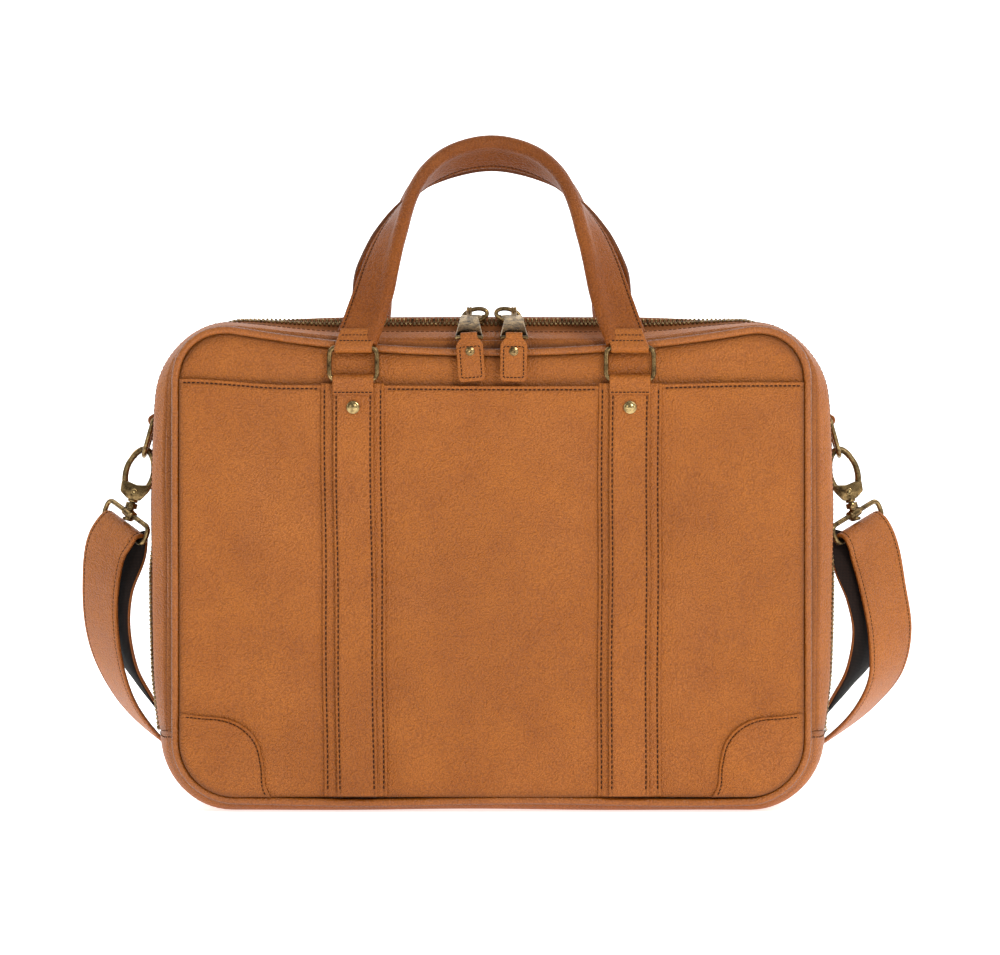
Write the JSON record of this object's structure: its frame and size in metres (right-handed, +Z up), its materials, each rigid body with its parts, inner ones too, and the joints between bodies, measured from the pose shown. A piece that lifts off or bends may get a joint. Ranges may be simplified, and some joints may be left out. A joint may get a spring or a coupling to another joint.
{
  "type": "laptop briefcase",
  "caption": "Leather laptop briefcase that opens along a zip, with twin top handles on rings and a shoulder strap on snap hooks.",
  "frame": {"origin": "centre of the base, on the floor", "axes": "+Z up, +X along the width, the front faces -Y"},
  "size_m": [0.5126, 0.1543, 0.4064],
  "materials": {
    "leather": "fine-grained tan leather with edge wear and stitching",
    "antique_brass": "antique, darkened in the recesses",
    "lining": "plain woven lining",
    "foam_fabric": "padded, cloth covered",
    "zip_tape": "herringbone woven tape",
    "webbing": "woven webbing",
    "board": "matte"
  },
  "bodies": {
    "root": {"back_panel": "leather", "back_padding": "foam_fabric", "back_lining": "lining", "back_piping": "leather", "gusset_back": "leather", "gusset_bottom": "leather", "gusset_lining_back": "lining", "zip_tape_back": "zip_tape", "zip_teeth_back": "antique_brass", "base_board": "board", "laptop_divider": "foam_fabric", "divider_strap": "webbing", "under_strips_back": "leather", "handle_strap_back_left": "leather", "handle_strap_back_right": "leather", "rivets_back": "antique_brass", "corner_patches_back": "leather", "d_ring_tab_left": "leather", "d_ring_tab_right": "leather", "swivel_ring_left": "antique_brass", "swivel_ring_right": "antique_brass", "shoulder_strap": "leather", "strap_return_left": "leather", "strap_return_right": "leather", "strap_slider_left": "antique_brass", "strap_slider_right": "antique_brass"},
    "front_lid": {"front_panel": "leather", "front_padding": "foam_fabric", "front_lining": "lining", "front_piping": "leather", "gusset_front": "leather", "gusset_lining_front": "lining", "zip_tape_front": "zip_tape", "zip_teeth_front": "antique_brass", "slip_pocket": "leather", "under_strips_front": "leather", "handle_strap_front_left": "leather", "handle_strap_front_right": "leather", "rivets_front": "antique_brass", "corner_patches_front": "leather", "organiser_pocket": "lining"},
    "front_rings": {"handle_rings_front": "antique_brass"},
    "front_handle": {"handle_front": "leather"},
    "back_rings": {"handle_rings_back": "antique_brass"},
    "back_handle": {"handle_back": "leather"},
    "slider_left": {"zip_slider_left": "antique_brass"},
    "puller_left": {"zip_puller_left": "antique_brass"},
    "tab_left": {"pull_tab_left": "leather", "tab_rivet_left": "antique_brass"},
    "d_ring_left": {"d_ring_left": "antique_brass"},
    "hook_left": {"snap_hook_left": "antique_brass"},
    "gate_left": {"hook_gate_left": "antique_brass"},
    "slider_right": {"zip_slider_right": "antique_brass"},
    "puller_right": {"zip_puller_right": "antique_brass"},
    "tab_right": {"pull_tab_right": "leather", "tab_rivet_right": "antique_brass"},
    "d_ring_right": {"d_ring_right": "antique_brass"},
    "hook_right": {"snap_hook_right": "antique_brass"},
    "gate_right": {"hook_gate_right": "antique_brass"}
  },
  "joints": [
    {"name": "lid_opening", "type": "hinge", "parent": "root", "child": "front_lid", "pos_m": [0, -0.0445, 0.0065], "axis": [1, 0, 0], "range_deg": [0, 35]},
    {"name": "front_ring_swing", "type": "hinge", "parent": "front_lid", "child": "front_rings", "pos_m": [0, -0.0504, 0.2595], "axis": [1, 0, 0], "range_deg": [0, 120]},
    {"name": "front_handle_swing", "type": "hinge", "parent": "front_rings", "child": "front_handle", "pos_m": [0, -0.0504, 0.279], "axis": [1, 0, 0], "range_deg": [0, 60]},
    {"name": "back_ring_swing", "type": "hinge", "parent": "root", "child": "back_rings", "pos_m": [0, 0.0504, 0.2595], "axis": [-1, 0, 0], "range_deg": [0, 120]},
    {"name": "back_handle_swing", "type": "hinge", "parent": "back_rings", "child": "back_handle", "pos_m": [0, 0.0504, 0.279], "axis": [-1, 0, 0], "range_deg": [0, 60]},
    {"name": "zip_slide_left", "type": "slide", "parent": "front_lid", "child": "slider_left", "axis": [-1, 0, 0], "range_m": [0, 0.03]},
    {"name": "puller_swing_left", "type": "hinge", "parent": "slider_left", "child": "puller_left", "pos_m": [-0.0135, -0.0155, 0.3019], "axis": [-1, 0, 0], "range_deg": [0, 110]},
    {"name": "tab_swing_left", "type": "hinge", "parent": "puller_left", "child": "tab_left", "pos_m": [-0.0135, -0.052, 0.285], "axis": [-1, 0, 0], "range_deg": [0, 60]},
    {"name": "d_ring_swing_left", "type": "hinge", "parent": "root", "child": "d_ring_left", "pos_m": [-0.2066, 0.015, 0.236], "axis": [0, 1, 0], "range_deg": [-1.8, 1.8]},
    {"name": "hook_swivel_left", "type": "hinge", "parent": "root", "child": "hook_left", "pos_m": [-0.221, 0.015, 0.1825], "axis": [0.2588, 0, 0.9659], "range_deg": [-20, 20]},
    {"name": "gate_press_left", "type": "hinge", "parent": "hook_left", "child": "gate_left", "pos_m": [-0.22343, 0.015, 0.19506], "axis": [0, 1, 0], "range_deg": [0, 12], "stiffness_Nm_per_rad": 0.02, "springref_deg": -5.73},
    {"name": "zip_slide_right", "type": "slide", "parent": "front_lid", "child": "slider_right", "axis": [1, 0, 0], "range_m": [0, 0.03]},
    {"name": "puller_swing_right", "type": "hinge", "parent": "slider_right", "child": "puller_right", "pos_m": [0.0135, -0.0155, 0.3019], "axis": [-1, 0, 0], "range_deg": [0, 110]},
    {"name": "tab_swing_right", "type": "hinge", "parent": "puller_right", "child": "tab_right", "pos_m": [0.0135, -0.052, 0.285], "axis": [-1, 0, 0], "range_deg": [0, 60]},
    {"name": "d_ring_swing_right", "type": "hinge", "parent": "root", "child": "d_ring_right", "pos_m": [0.2066, 0.015, 0.236], "axis": [0, 1, 0], "range_deg": [-1.8, 1.8]},
    {"name": "hook_swivel_right", "type": "hinge", "parent": "root", "child": "hook_right", "pos_m": [0.221, 0.015, 0.1825], "axis": [-0.2588, 0, 0.9659], "range_deg": [-20, 20]},
    {"name": "gate_press_right", "type": "hinge", "parent": "hook_right", "child": "gate_right", "pos_m": [0.22343, 0.015, 0.19506], "axis": [0, -1, 0], "range_deg": [0, 12], "stiffness_Nm_per_rad": 0.02, "springref_deg": -5.73}
  ]
}
